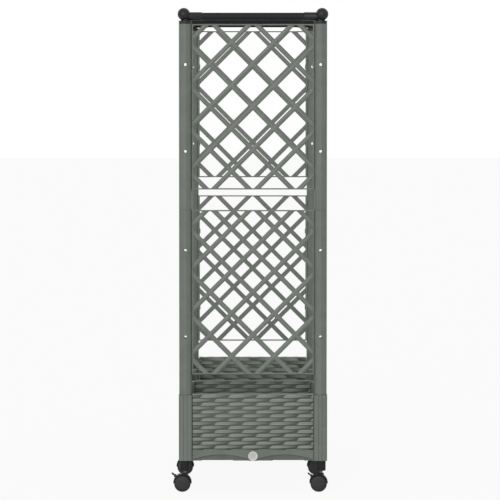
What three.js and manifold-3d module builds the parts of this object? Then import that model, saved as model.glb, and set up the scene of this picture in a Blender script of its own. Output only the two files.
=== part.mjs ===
// Long planter on casters with a lattice trellis at each end, in millimetres, +Z up.
// Its origin is on the floor under its middle, and its front end faces -Y.
import * as THREE from 'three';
import { mergeVertices } from 'three/addons/utils/BufferGeometryUtils.js';
import Module from 'manifold-3d';

const wasm = await Module();
wasm.setup();

// ---- driving dimensions ----------------------------------------------------------------
const moduleLength = 396; // spacing of the columns, across the planter and along it
const moduleCount = 3; // bays along the planter
const gap = 0.3; // least space between two pieces
const past = 1; // how far a cutting block runs past a face, and joined blocks into each other
const postWidth = 37.5;
const postRadius = 8;
const postWall = 3.6;
const postFloor = 4;
const segmentLength = 543.5; // one of the two lengths that make a post
const spigotLength = 24;
const socketRadius = 4;
const pinHoleWidth = 8.5;
const pinHolesBelowTop = [119, 373];
const columnWidth = 39.8;
const columnRadius = 6;
const columnFoot = 91.5;
const grooveOffset = 5.5; // the two grooves on a column's face, each side of its middle
const grooveWidth = 1.8;
const grooveDepth = 1.3;
const wallFoot = 91.4; // height of the box's lower edge
const bandTop = 123.9; // the plain band ends and the weave starts
const rim = 291; // height of the box's upper edge
const columnTop = 286;
const bandOut = 15.5; // faces of a wall, out from the line through the columns
const weaveOut = 14.6; // crest of a woven row
const weaveFloorOut = 11.3;
const wallInnerOut = 6.5;
const weaveRow = 11.5; // height of one woven row
const crestBelowTop = 0.4; // of a row's height, down to its crest
const bandShoulder = 1.5;
const archSpan = 155;
const archMiddle = 93.5; // middle of an arch, out from the middle of its wall
const archRise = 18.6;
const archSkin = 2.2; // what a recessed arch leaves of the wall behind it
const archSteps = 6;
const notchMiddle = 104.2; // the shallow notch in that skin's foot, from the wall's middle
const notchLength = 91;
const notchRise = 1.5;
const archFlatness = 4; // power of the arch's curve: the higher, the flatter its top
const ledgeHeight = 1.5; // the tab at the middle of a wall's foot, which carries the tray
const endLedgeReach = 12;
const sideLedgeReach = 38;
const ledgeHalfLength = 13;
const tongueDepth = 3; // tongue of a wall, held in a column's slot
const tongueThickness = 4;
const tongueTop = columnTop - 4;
const dividerThickness = 8;
const dividerRelief = 2; // from a crest of its woven faces to the panel between them
const trayThickness = 2.5;
const trayTop = 136;
const traySide = 1.2; // space between a tray and the walls round it
const floorThickness = 3;
const floorSetback = 0.5; // of a floor's edge from its tray's outline
const cupOut = 92; // middle of a cup from the planter's middle
const slotOut = 140; // the same for a drain slot
const slotPitch = 132;
const slotLength = 26;
const slotWidth = 6;
const cupWidth = 36; // cups of the floor, which dip into the water
const cupWall = 2.2;
const cupClearance = 2.4; // a cup's foot above the tray's bottom
const plugHeight = 105.7;
const plugRadius = 8.6;
const plugBore = 9.3; // to the corners of its twelve sides
const plugFlangeRadius = 14;
const plugDishRadius = 9.4;
const plugFlange = 2.9; // thickness of its flange
const plugDishDepth = 1.1;
const plugStemPast = 3; // its stem runs this far past the tray's wall
const trellisHeight = 483.5;
const trellisRail = 3.6;
const trellisDepth = 10;
const trellisDrop = 1; // its top rail below the segment's top
const latticePitch = 125.5; // from one crossing to the next, level or upright
const stripWidth = 14;
const stripDepth = 5;
const ridgeDepth = 4.2; // a ridge's top from the middle of the panel's thickness
const lugHeight = 15;
const lugReach = 2; // a lug's reach in from the rail
const hookReach = 6; // and into the post
const hookThickness = 5;
const weldTolerance = 0.02; // slivers thinner than this are welded away
const capHeight = 9;
const pedestalRadius = 12;
const tubeRadius = 10.4;
const tubeWall = 1.6;
const tubeAxisUp = 21.8; // above the post's top
const sleeveRadius = 11.9;
const sleeveReach = 48.5;
const socketDepth = 30;
const tubeSides = 10;
const teeHalfLength = 24; // the tee round the middle of a long side's tube
const ballRadius = 18.2;
const ballOut = 4; // the ball sits out and up from where the tubes meet
const ballUp = 27.9;
const collarRadius = 13.7; // the collar on a caster's stem, under the column
const collarFoot = 61.5;
const stemOut = 2.4; // a stem's axis, out from the middle of its column
const stemRadius = 4.8;
const stemTop = 106;
const stemClearance = 2; // above a stem in its bore
const stemBore = 5.6; // to the corners of its eight sides
const wheelRadius = 24.2; // to the flats of the tread
const wheelFlats = 14;
const wheelTrail = 7.15; // axle behind the swivel
const wheelOuter = 17; // outer face of a wheel from the caster's middle
const wheelInner = 5;
const axleRadius = 3;
const hoodRadius = 28.5;
const hoodThickness = 2.9;
const hoodTaper = 1.6; // how much thinner the hood's two ends are
const hoodHalfWidth = 16.4;
const hoodSteps = 8; // round the upper half circle
const webSetback = 0.8; // of the middle web's faces from the wheels
const hubRadius = 8; // of the web round the axle
const earHalfThickness = 1.2; // the two ears that hold the brake lever's pin
const earOut = 11.3; // middle of an ear from the caster's middle
const earOutline = [-3, 4, -4.5, 3]; // left, right, foot and top, from the pin
const leverReach = [-30.5, 29.2]; // tip of the brake lever from the wheel's centre
const leverPivot = [-22.2, 22.6];
const leverHalfWidth = 9.5;
const leverPinRadius = 1.5;
const leverPinReach = 3; // past each side of the lever

const hookSlot = hookThickness + 2 * gap;
const lugSlot = lugHeight + 2 * gap;
const halfPitch = moduleLength / 2;
const endLine = (moduleCount * moduleLength) / 2;
const columnRows = [-endLine, -halfPitch, halfPitch, endLine];
const postHalf = postWidth / 2;
const columnHalf = columnWidth / 2;
const wallHalfLength = halfPitch - columnHalf - gap;
const wallInner = halfPitch + wallInnerOut;
const socketHalf = postHalf - postWall;
const postFoot = columnTop + gap;
const postTop = postFoot + 2 * segmentLength + gap;
const trayFoot = wallFoot + ledgeHeight + gap;
const floorFoot = trayTop + gap;

// ---- finishes --------------------------------------------------------------------------
const finishes = {
  grey: { color: '#747a74', roughness: 0.55, metalness: 0 },
  weave: { color: '#7a7f79', roughness: 0.6, metalness: 0 },
  black: { color: '#26272a', roughness: 0.3, metalness: 0 },
  tray: { color: '#4a4d4b', roughness: 0.6, metalness: 0 },
  plug: { color: '#dcdcd8', roughness: 0.4, metalness: 0 },
  wheel: { color: '#3b3c3e', roughness: 0.5, metalness: 0 },
};

// ---- helpers ---------------------------------------------------------------------------
function toSolid(geometry) {
  const bare = geometry.clone();
  bare.deleteAttribute('normal');
  bare.deleteAttribute('uv');
  const merged = mergeVertices(bare, 1e-4);
  const index = merged.index.array;
  const kept = [];
  for (let i = 0; i < index.length; i += 3) {
    const [a, b, c] = index.subarray(i, i + 3);
    if (a !== b && b !== c && c !== a) kept.push(a, b, c);
  }
  const vertProperties = Float32Array.from(merged.attributes.position.array);
  const triVerts = Uint32Array.from(kept);
  return new wasm.Manifold(new wasm.Mesh({ numProp: 3, vertProperties, triVerts }));
}

function toGeometry(solid) {
  const mesh = solid.getMesh();
  const geometry = new THREE.BufferGeometry();
  geometry.setAttribute('position', new THREE.BufferAttribute(mesh.vertProperties, 3));
  geometry.setIndex(new THREE.BufferAttribute(mesh.triVerts, 1));
  geometry.computeVertexNormals();
  return geometry;
}

function joined(solids) {
  return solids.reduce((whole, piece) => whole.add(piece));
}

function cut(solid, tools) {
  return tools.reduce((whole, tool) => whole.subtract(tool), solid);
}

function outline(points) {
  return new THREE.Shape(points.map(([x, y]) => new THREE.Vector2(x, y)));
}

// A flat outline pushed from `from` to `to` along one axis.
function extruded(points, axis, from, to) {
  const options = { depth: to - from, bevelEnabled: false };
  const geometry = new THREE.ExtrudeGeometry(outline(points), options);
  if (axis === 'z') geometry.translate(0, 0, from);
  if (axis === 'y') geometry.rotateX(Math.PI / 2).translate(0, to, 0);
  if (axis === 'x') {
    const turned = new THREE.Matrix4().makeBasis(
      new THREE.Vector3(0, 1, 0),
      new THREE.Vector3(0, 0, 1),
      new THREE.Vector3(1, 0, 0),
    );
    geometry.applyMatrix4(turned).translate(from, 0, 0);
  }
  return toSolid(geometry);
}

function block(x0, x1, y0, y1, z0, z1) {
  const geometry = new THREE.BoxGeometry(x1 - x0, y1 - y0, z1 - z0);
  return toSolid(geometry.translate((x0 + x1) / 2, (y0 + y1) / 2, (z0 + z1) / 2));
}

// A block from x0 to x1 and its mirror image on the other side of x = 0.
function mirrored(x0, x1, y0, y1, z0, z1) {
  return [block(x0, x1, y0, y1, z0, z1), block(-x1, -x0, y0, y1, z0, z1)];
}

// A round bar along one axis, between two points of that axis.
function bar(radius, sides, axis, from, to, at = [0, 0, 0]) {
  const geometry = new THREE.CylinderGeometry(radius, radius, to - from, sides);
  geometry.translate(0, (from + to) / 2, 0);
  if (axis === 'z') geometry.rotateX(Math.PI / 2);
  if (axis === 'x') geometry.rotateZ(-Math.PI / 2);
  return toSolid(geometry.translate(...at));
}

// A square outline with round corners.
function roundedSquare(half, radius, steps) {
  const points = [];
  const middle = half - radius;
  for (let corner = 0; corner < 4; corner += 1) {
    const turn = (corner * Math.PI) / 2;
    for (let i = 0; i <= steps; i += 1) {
      const angle = (i / steps) * (Math.PI / 2);
      const x = middle + radius * Math.cos(angle);
      const y = middle + radius * Math.sin(angle);
      points.push([x * Math.cos(turn) - y * Math.sin(turn), x * Math.sin(turn) + y * Math.cos(turn)]);
    }
  }
  return points;
}

// ---- posts -----------------------------------------------------------------------------
// A post segment: hollow, open at the top, with a spigot below and pin holes front to back.
// The slots in its +X face take the hooks of a trellis.
function postSegment() {
  const tube = extruded(roundedSquare(postHalf, postRadius, 2), 'z', 0, segmentLength);
  const bore = extruded(roundedSquare(socketHalf, socketRadius, 1), 'z', postFloor, segmentLength + past);
  const spigot = extruded(roundedSquare(socketHalf - gap, socketRadius, 1), 'z', -spigotLength, past);
  const holes = [];
  for (const below of pinHolesBelowTop) {
    const up = segmentLength - below;
    holes.push(bar(pinHoleWidth / 2, 6, 'y', -postWidth, postWidth, [0, 0, up]));
    const [foot, top] = [up - lugSlot / 2, up + lugSlot / 2];
    holes.push(block(socketHalf - past, postWidth, -hookSlot / 2, hookSlot / 2, foot, top));
  }
  return cut(tube.subtract(bore).add(spigot), holes);
}

// ---- trellis ---------------------------------------------------------------------------
// One slanting strip, its outer face rising to a ridge along the middle.
function latticeStrip(length) {
  const edge = stripWidth / 2;
  const section = [
    [-edge, -stripDepth / 2], [0, -ridgeDepth], [edge, -stripDepth / 2],
    [edge, stripDepth / 2], [-edge, stripDepth / 2],
  ];
  return extruded(section, 'z', -length / 2, length / 2);
}

function trellisPanel() {
  const half = halfPitch - postHalf - gap;
  const halfHeight = trellisHeight / 2;
  const inner = half - trellisRail;
  const innerHeight = halfHeight - trellisRail;
  const diagonal = 2 * Math.hypot(half, halfHeight);
  const strip = latticeStrip(diagonal);
  const strips = [];
  const reach = Math.ceil((half + halfHeight) / latticePitch);
  for (let n = -reach; n <= reach; n += 1) {
    for (const slant of [-45, 45]) {
      const offset = (n * latticePitch) / 2;
      strips.push(strip.rotate([0, slant, 0]).translate([offset, 0, slant > 0 ? -offset : offset]));
    }
  }
  const [wide, high] = [inner + past, innerHeight + past];
  const window = block(-wide, wide, -trellisDepth, trellisDepth, -high, high);
  const lattice = joined(strips).intersect(window);
  const frame = block(-half, half, -trellisDepth / 2, trellisDepth / 2, -halfHeight, halfHeight)
    .subtract(block(-inner, inner, -trellisDepth, trellisDepth, -innerHeight, innerHeight));
  const hooks = [];
  for (const below of pinHolesBelowTop) {
    const up = halfHeight - below + trellisDrop;
    hooks.push(...mirrored(inner - lugReach, half + hookReach, -hookThickness / 2, hookThickness / 2,
      up - lugHeight / 2, up + lugHeight / 2));
  }
  return joined([frame, lattice, ...hooks]).simplify(weldTolerance);
}

// ---- top of the frame ------------------------------------------------------------------
// A corner: cap plate and spigot on the post, a ball, and two sleeves towards +X and +Y.
function cornerConnector() {
  const plate = extruded(roundedSquare(postHalf, postRadius, 2), 'z', gap, capHeight);
  const spigot = extruded(roundedSquare(socketHalf - gap, socketRadius, 1), 'z', -spigotLength, gap + past);
  const pedestal = bar(pedestalRadius, 8, 'z', capHeight - past, tubeAxisUp);
  const ball = toSolid(new THREE.SphereGeometry(ballRadius, 10, 6)
    .rotateX(Math.PI / 2).translate(-ballOut, -ballOut, ballUp));
  const level = [0, 0, tubeAxisUp];
  const sleeves = ['x', 'y'].map((axis) => bar(sleeveRadius, tubeSides, axis, 0, sleeveReach, level));
  const bores = ['x', 'y'].map((axis) => (
    bar(tubeRadius + gap, tubeSides, axis, sleeveReach - socketDepth, sleeveReach + past, level)));
  return cut(joined([plate, spigot, pedestal, ball, ...sleeves]), bores);
}

function tubeBore(length) {
  return bar(tubeRadius - tubeWall, 8, 'x', -length, length);
}

function acrossTube() {
  const length = 2 * (halfPitch - sleeveReach + socketDepth - past);
  return bar(tubeRadius, tubeSides, 'x', -length / 2, length / 2).subtract(tubeBore(length));
}

// A long side's tube with the tee on its middle, whose sleeve points to +Y and takes the
// middle cross tube.
function alongTube() {
  const length = 2 * (endLine - sleeveReach + socketDepth - past);
  const tube = bar(tubeRadius, tubeSides, 'x', -length / 2, length / 2);
  const tee = bar(sleeveRadius, tubeSides, 'x', -teeHalfLength, teeHalfLength);
  const sleeve = bar(sleeveRadius, tubeSides, 'y', 0, sleeveReach);
  const socket = bar(tubeRadius + gap, tubeSides, 'y', sleeveReach - socketDepth, sleeveReach + past);
  return cut(joined([tube, tee, sleeve]), [socket, tubeBore(length)]);
}

// ---- box -------------------------------------------------------------------------------
// A column under a post: grooved outer faces, slots for the walls, and the bore in its foot
// for a caster's stem.
function column(outerFaces, slotFaces, stemAt) {
  const shaft = extruded(roundedSquare(columnHalf, columnRadius, 2), 'z', columnFoot, columnTop);
  const tools = [bar(stemBore, 8, 'z', columnFoot - past, stemTop + stemClearance, [...stemAt, 0])];
  const wide = grooveWidth / 2;
  const [foot, top] = [columnFoot - past, columnTop + past];
  for (const turn of outerFaces) {
    for (const side of [-grooveOffset, grooveOffset]) {
      const groove = block(side - wide, side + wide, -columnWidth, -columnHalf + grooveDepth, foot, top);
      tools.push(groove.rotate([0, 0, turn]));
    }
  }
  for (const { turn, along } of slotFaces) {
    const deep = columnHalf - tongueDepth - gap;
    const half = tongueThickness / 2 + gap;
    const slot = block(along - half, along + half, -columnWidth, -deep, foot, top);
    tools.push(slot.rotate([0, 0, turn]));
  }
  return cut(shaft, tools);
}

function postSocket() {
  const foot = columnTop - spigotLength - postFloor;
  return extruded(roundedSquare(socketHalf, socketRadius, 1), 'z', foot, columnTop + past);
}

// A wall from the rim down: its woven rows, then the plain band.
function wallSection() {
  const points = [[-wallInnerOut, wallFoot], [-wallInnerOut, rim]];
  const rows = Math.floor((rim - bandTop) / weaveRow);
  for (let row = 0; row < rows; row += 1) {
    const top = rim - row * weaveRow;
    points.push([-weaveFloorOut, top], [-weaveOut, top - weaveRow * crestBelowTop]);
  }
  points.push([-weaveFloorOut, rim - rows * weaveRow], [-weaveFloorOut, bandTop]);
  points.push([-bandOut, bandTop - bandShoulder], [-bandOut, wallFoot]);
  return points;
}

function archOutline(middle) {
  const points = [];
  for (let i = 0; i <= archSteps; i += 1) {
    const t = (2 * i) / archSteps - 1;
    points.push([middle + (t * archSpan) / 2, wallFoot + archRise * (1 - t ** archFlatness)]);
  }
  points.push([middle + archSpan / 2, wallFoot - past], [middle - archSpan / 2, wallFoot - past]);
  return points;
}

// A wall between two columns: its outer face to -Y, two arches recessed in the band, and
// between them the tab that reaches in under the tray.
function wall(ledgeReach, tongues = true) {
  const panel = extruded(wallSection(), 'x', -wallHalfLength, wallHalfLength);
  const arches = [-archMiddle, archMiddle].map((middle) => (
    extruded(archOutline(middle), 'y', -columnHalf, -wallInnerOut - archSkin)));
  const notches = mirrored(notchMiddle - notchLength / 2, notchMiddle + notchLength / 2,
    -columnHalf, 0, wallFoot - past, wallFoot + notchRise);
  const ledge = block(-ledgeHalfLength, ledgeHalfLength, -wallInnerOut - past,
    ledgeReach - wallInnerOut, wallFoot, wallFoot + ledgeHeight);
  const shaped = cut(panel, [...arches, ...notches]).add(ledge);
  if (!tongues) return shaped;
  const middle = (weaveFloorOut + wallInnerOut) / 2;
  const [near, far] = [-middle - tongueThickness / 2, -middle + tongueThickness / 2];
  const reach = wallHalfLength + tongueDepth;
  return joined([shaped, ...mirrored(wallHalfLength - past, reach, near, far, bandTop, tongueTop)]);
}

const slotAlong = -(weaveFloorOut + wallInnerOut) / 2;

function cornerColumn() {
  const slots = [{ turn: 90, along: slotAlong }, { turn: 180, along: -slotAlong }];
  return column([0, -90], slots, [-stemOut, -stemOut]).subtract(postSocket());
}

function endWall() {
  return wall(endLedgeReach).subtract(bar(plugBore, 12, 'y', -columnHalf, 0, [0, 0, plugHeight]));
}

// The middle wall of a long side is moulded with both its columns.
function middleWall() {
  const stemAt = [0, -stemOut];
  const left = column([0], [{ turn: -90, along: -slotAlong }, { turn: 180, along: 0 }], stemAt);
  const right = column([0], [{ turn: 90, along: slotAlong }, { turn: 180, along: 0 }], stemAt);
  const bridge = wall(sideLedgeReach, false);
  const joints = mirrored(wallHalfLength - past, halfPitch - columnHalf + past, -weaveFloorOut,
    -wallInnerOut, bandTop, columnTop);
  const columns = [left.translate([-halfPitch, 0, 0]), right.translate([halfPitch, 0, 0])];
  return joined([bridge, ...joints, ...columns]);
}

function divider() {
  const crest = dividerThickness / 2;
  const core = crest - dividerRelief;
  const panel = block(-wallHalfLength, wallHalfLength, -core, core, trayFoot, rim);
  const rows = Math.floor((rim - trayTop) / weaveRow);
  const section = [[0, rim], [0, rim - rows * weaveRow]];
  for (let row = rows; row > 0; row -= 1) {
    const top = rim - (row - 1) * weaveRow;
    section.push([-core, top - weaveRow], [-crest, top - weaveRow * crestBelowTop]);
  }
  section.push([-core, rim]);
  const face = extruded(section, 'x', -wallHalfLength, wallHalfLength);
  const reach = wallHalfLength + tongueDepth;
  return panel.add(face).add(block(-reach, reach, -core, core, bandTop, tongueTop));
}

// ---- watering trays and floors ---------------------------------------------------------
// Plan of a floor: a bay between two cross walls, stepped in round the columns.
function floorOutline(bay) {
  const setback = traySide + floorSetback;
  const wide = wallInner - setback;
  const narrow = halfPitch - columnHalf - setback;
  const clear = columnHalf + setback;
  const [low, high] = [bay.front + floorSetback, bay.rear - floorSetback];
  const right = [[narrow, low]];
  for (const row of columnRows) {
    const [from, to] = [row - clear, row + clear];
    if (to < low || from > high) continue;
    if (from > low) right.push([wide, from], [narrow, from]);
    if (to < high) right.push([narrow, to], [wide, to]);
  }
  right.push([narrow, high]);
  const clean = right.filter(([x, y], i) => i === 0 || x !== right[i - 1][0] || y !== right[i - 1][1]);
  const left = clean.map(([x, y]) => [-x, y]).reverse();
  return [...clean, ...left];
}

const bays = {
  front: { front: -endLine - wallInnerOut + traySide, rear: -halfPitch - dividerThickness / 2 - traySide },
  rear: { front: -halfPitch + dividerThickness / 2 + traySide, rear: endLine + wallInnerOut - traySide },
};

// A plain tray that fits between the columns; its rim carries the floor.
function waterTray(bay, plugAtRear) {
  const half = halfPitch - columnHalf - traySide;
  const [inner, thick] = [half - trayThickness, trayThickness];
  const shell = block(-half, half, bay.front, bay.rear, trayFoot, trayTop);
  const hollow = block(-inner, inner, bay.front + thick, bay.rear - thick, trayFoot + thick, trayTop + past);
  const wallAt = plugAtRear ? bay.rear : bay.front;
  const reach = trayThickness + plugStemPast + past;
  const plugHole = bar(plugBore, 12, 'y', wallAt - reach, wallAt + reach, [0, 0, plugHeight]);
  return shell.subtract(hollow).subtract(plugHole);
}

// A lift-out floor with drain slots; its cups dip into the water and wick it up.
function wateringFloor(bay, cupRows) {
  const floorTop = floorFoot + floorThickness;
  const plate = extruded(floorOutline(bay), 'z', floorFoot, floorTop);
  const cups = [];
  const tools = [];
  const cup = cupWidth / 2;
  const cupFoot = trayFoot + trayThickness + cupClearance;
  for (const y of cupRows) {
    for (const x of [-cupOut, cupOut]) {
      cups.push(block(x - cup, x + cup, y - cup, y + cup, cupFoot, floorFoot + past));
      tools.push(block(x - cup + cupWall, x + cup - cupWall, y - cup + cupWall, y + cup - cupWall,
        cupFoot + cupWall, floorTop + past));
    }
  }
  for (let y = bay.front + slotPitch / 2; y < bay.rear - slotPitch / 4; y += slotPitch) {
    for (const x of [-slotOut, slotOut]) {
      tools.push(block(x - slotLength / 2, x + slotLength / 2, y - slotWidth / 2, y + slotWidth / 2,
        floorFoot - past, floorTop + past));
    }
  }
  return cut(joined([plate, ...cups]), tools);
}

// The drain plug, its axis along Y: a dished flange outside and a stem through the tray.
function drainPlug() {
  const face = -bandOut - gap;
  const stemEnd = -wallInnerOut + traySide + trayThickness + plugStemPast;
  const profile = [
    [0, face - plugFlange + plugDishDepth], [plugDishRadius, face - plugFlange + plugDishDepth],
    [plugDishRadius + 1, face - plugFlange], [plugFlangeRadius - 0.6, face - plugFlange],
    [plugFlangeRadius, face], [plugRadius, face],
    [plugRadius, stemEnd], [0, stemEnd],
  ];
  return toSolid(new THREE.LatheGeometry(profile.map(([r, y]) => new THREE.Vector2(r, y)), 12));
}

// ---- casters ---------------------------------------------------------------------------
// The swivelling part of a caster: hood, middle web, and a stem with a collar that bears on
// the column's foot. It trails -X.
function casterHousing(braked) {
  const centre = [-wheelTrail, 0, wheelRadius];
  const hood = [];
  const arcPoint = (radius, angle) => [
    centre[0] + radius * Math.cos(angle), centre[2] + radius * Math.sin(angle)];
  for (let i = 0; i <= hoodSteps; i += 1) {
    const angle = (i / hoodSteps) * Math.PI;
    hood.push(arcPoint(hoodRadius - hoodTaper * (1 - Math.sin(angle)), angle));
  }
  const inside = hoodRadius - hoodThickness;
  for (let i = hoodSteps; i >= 0; i -= 1) hood.push(arcPoint(inside, (i / hoodSteps) * Math.PI));
  const web = [arcPoint(hubRadius, 1.3 * Math.PI), arcPoint(hubRadius, 1.7 * Math.PI)];
  for (const angle of [0, 0.5, 1]) web.push(arcPoint(inside + past, angle * Math.PI));
  const pieces = [
    extruded(hood, 'y', -hoodHalfWidth, hoodHalfWidth),
    extruded(web, 'y', -wheelInner + webSetback, wheelInner - webSetback),
    bar(collarRadius, 8, 'z', collarFoot, columnFoot - gap),
    bar(stemRadius, 6, 'z', wheelRadius + inside + past / 2, stemTop),
  ];
  const across = [-hoodHalfWidth - past, hoodHalfWidth + past];
  const tools = [bar(axleRadius + gap, 8, 'y', ...across, centre)];
  if (braked) {
    const [px, pz] = [centre[0] + leverPivot[0], centre[2] + leverPivot[1]];
    const [left, right, foot, top] = earOutline;
    for (const at of [-earOut, earOut]) {
      pieces.push(block(px + left, px + right, at - earHalfThickness, at + earHalfThickness,
        pz + foot, pz + top));
    }
    tools.push(bar(leverPinRadius + gap, 6, 'y', ...across, [px, 0, pz]));
  }
  return cut(joined(pieces), tools);
}

// Two wheels and their axle, turning together; a flat of the tread is down.
function wheelPair() {
  const outer = wheelRadius / Math.cos(Math.PI / wheelFlats);
  const profile = [
    [0, -wheelOuter], [outer, -wheelOuter], [outer, -wheelInner], [axleRadius, -wheelInner],
    [axleRadius, wheelInner], [outer, wheelInner], [outer, wheelOuter], [0, wheelOuter],
  ];
  const points = profile.map(([r, y]) => new THREE.Vector2(r, y));
  const geometry = new THREE.LatheGeometry(points, wheelFlats, Math.PI / wheelFlats);
  return toSolid(geometry.translate(-wheelTrail, 0, wheelRadius));
}

// The brake lever: a foot plate, thicker at its tip, on a pin between the hood's two ears.
function brakeLever() {
  const [px, pz] = [leverPivot[0] - wheelTrail, leverPivot[1] + wheelRadius];
  const [tx, tz] = [leverReach[0] - wheelTrail, leverReach[1] + wheelRadius];
  const plate = [
    [px + 1.6, pz - 2], [tx, tz - 2], [tx - 1.6, tz + 1.2], [tx + 1.4, tz + 2.2], [px + 2, pz + 2],
  ];
  return extruded(plate, 'y', -leverHalfWidth, leverHalfWidth)
    .add(bar(leverPinRadius, 6, 'y', -leverHalfWidth - leverPinReach, leverHalfWidth + leverPinReach,
      [px, 0, pz]));
}

// ---- assembly --------------------------------------------------------------------------
const planter = new THREE.Group();

function add(solid, name, finish, at = [0, 0, 0], turn = 0) {
  const mesh = new THREE.Mesh(toGeometry(solid), new THREE.MeshStandardMaterial(finishes[finish]));
  mesh.name = name;
  mesh.position.set(...at);
  mesh.rotation.z = THREE.MathUtils.degToRad(turn);
  planter.add(mesh);
}

// The four corners: side, end, place, and the turn of a piece drawn for the front left one.
const corners = [
  { name: 'front_left', x: -halfPitch, y: -endLine, turn: 0 },
  { name: 'front_right', x: halfPitch, y: -endLine, turn: 90 },
  { name: 'rear_right', x: halfPitch, y: endLine, turn: 180 },
  { name: 'rear_left', x: -halfPitch, y: endLine, turn: 270 },
];

const ends = [
  { name: 'front', y: -endLine, turn: 0 },
  { name: 'rear', y: endLine, turn: 180 },
];

const segment = postSegment();
const upperFoot = postFoot + segmentLength + gap;
const cornerPiece = cornerColumn();
const connector = cornerConnector();
for (const { name, x, y, turn } of corners) {
  const inward = x < 0 ? 0 : 180;
  add(cornerPiece, `${name}_column`, 'grey', [x, y, 0], turn);
  add(segment, `${name}_lower_post`, 'grey', [x, y, postFoot], inward);
  add(segment, `${name}_upper_post`, 'grey', [x, y, upperFoot], inward);
  add(connector, `${name}_connector`, 'black', [x, y, postTop], turn);
}

const trellis = trellisPanel();
const crossTube = acrossTube();
const sideTube = alongTube();
const tubeHeight = postTop + tubeAxisUp;
const endPiece = endWall();
const plug = drainPlug();
for (const { name, y, turn } of ends) {
  const middle = segmentLength - trellisHeight / 2 - trellisDrop;
  add(trellis, `${name}_lower_trellis`, 'grey', [0, y, postFoot + middle], turn);
  add(trellis, `${name}_upper_trellis`, 'grey', [0, y, upperFoot + middle], turn);
  add(crossTube, `${name}_top_tube`, 'black', [0, y, tubeHeight], turn);
  add(endPiece, `${name}_wall`, 'weave', [0, y, 0], turn);
  add(plug, `${name}_drain_plug`, 'plug', [0, y, plugHeight], turn);
}

add(crossTube, 'middle_top_tube', 'black', [0, 0, tubeHeight]);

const sides = [
  { name: 'left', x: -halfPitch, turn: -90 },
  { name: 'right', x: halfPitch, turn: 90 },
];
const sideWall = wall(sideLedgeReach);
const middlePiece = middleWall();
for (const { name, x, turn } of sides) {
  add(sideTube, `${name}_top_tube`, 'black', [x, 0, tubeHeight], turn);
  add(sideWall, `${name}_front_wall`, 'weave', [x, -moduleLength, 0], turn);
  add(middlePiece, `${name}_middle_wall`, 'weave', [x, 0, 0], turn);
  add(sideWall, `${name}_rear_wall`, 'weave', [x, moduleLength, 0], turn);
}

add(divider(), 'divider', 'weave', [0, -halfPitch, 0]);
add(waterTray(bays.front, false), 'front_water_tray', 'tray');
add(waterTray(bays.rear, true), 'rear_water_tray', 'tray');
add(wateringFloor(bays.front, [-moduleLength]), 'front_watering_floor', 'tray');
add(wateringFloor(bays.rear, [0, moduleLength]), 'rear_watering_floor', 'tray');

const wheels = wheelPair();
const plainHousing = casterHousing(false);
const brakedHousing = casterHousing(true);
const lever = brakeLever();
columnRows.forEach((y, row) => {
  const turn = y < 0 ? 0 : 180;
  const braked = Math.abs(y) === endLine;
  const along = braked ? y + Math.sign(y) * stemOut : y;
  for (const { name, x } of sides) {
    const caster = `${name}_caster_${row + 1}`;
    const place = [x + Math.sign(x) * stemOut, along, 0];
    add(braked ? brakedHousing : plainHousing, `${caster}_housing`, 'black', place, turn);
    add(wheels, `${caster}_wheels`, 'wheel', place, turn);
    if (braked) add(lever, `${caster}_brake_lever`, 'black', place, turn);
  }
});

export default planter;
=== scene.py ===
import math
import bmesh
import bpy
from mathutils import Matrix, Vector


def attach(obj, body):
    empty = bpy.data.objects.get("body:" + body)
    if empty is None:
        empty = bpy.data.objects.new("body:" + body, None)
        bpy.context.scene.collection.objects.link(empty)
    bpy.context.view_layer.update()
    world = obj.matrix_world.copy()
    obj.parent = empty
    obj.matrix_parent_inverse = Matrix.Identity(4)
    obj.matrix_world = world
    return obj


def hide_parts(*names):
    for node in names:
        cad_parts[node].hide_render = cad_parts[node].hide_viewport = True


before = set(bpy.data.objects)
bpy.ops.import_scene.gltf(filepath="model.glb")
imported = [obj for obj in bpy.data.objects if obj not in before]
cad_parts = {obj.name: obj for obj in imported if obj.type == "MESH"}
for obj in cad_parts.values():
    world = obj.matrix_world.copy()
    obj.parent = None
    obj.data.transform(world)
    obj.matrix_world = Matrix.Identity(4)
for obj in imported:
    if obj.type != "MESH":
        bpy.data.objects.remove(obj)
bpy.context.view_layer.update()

mm = 0.001
modulePitch = 396  # columns stand this far apart, across and along
sideLine = modulePitch / 2  # the side columns' line, from the middle
endLine = modulePitch * 1.5
frameBody = "planter_frame"

# materials, each started from what the real one is
noiseSpan = (0.3, 0.7)  # nearly all of the noise's values lie between these


def linear(code):
    # sRGB hex to the linear values that a shader takes
    parts = [int(code[i:i + 2], 16) / 255 for i in (1, 3, 5)]
    return [c / 12.92 if c <= 0.04045 else ((c + 0.055) / 1.055) ** 2.4 for c in parts] + [1.0]


def addNode(tree, kind, inputs=None, **settings):
    made = tree.nodes.new(kind)
    for name, value in settings.items():
        setattr(made, name, value)
    for name, value in (inputs or {}).items():
        if isinstance(value, bpy.types.NodeSocket):
            tree.links.new(value, made.inputs[name])
        else:
            made.inputs[name].default_value = value
    return made


def newMaterial(name):
    material = bpy.data.materials.new(name)
    material.use_nodes = True
    tree = material.node_tree
    tree.nodes.clear()
    return material, tree


def finishMaterial(tree, values, colour, roughness, normal):
    shader = addNode(tree, "ShaderNodeBsdfPrincipled", {
        **values, "Base Color": colour, "Roughness": roughness, "Normal": normal})
    addNode(tree, "ShaderNodeOutputMaterial", {"Surface": shader.outputs["BSDF"]})


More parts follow.
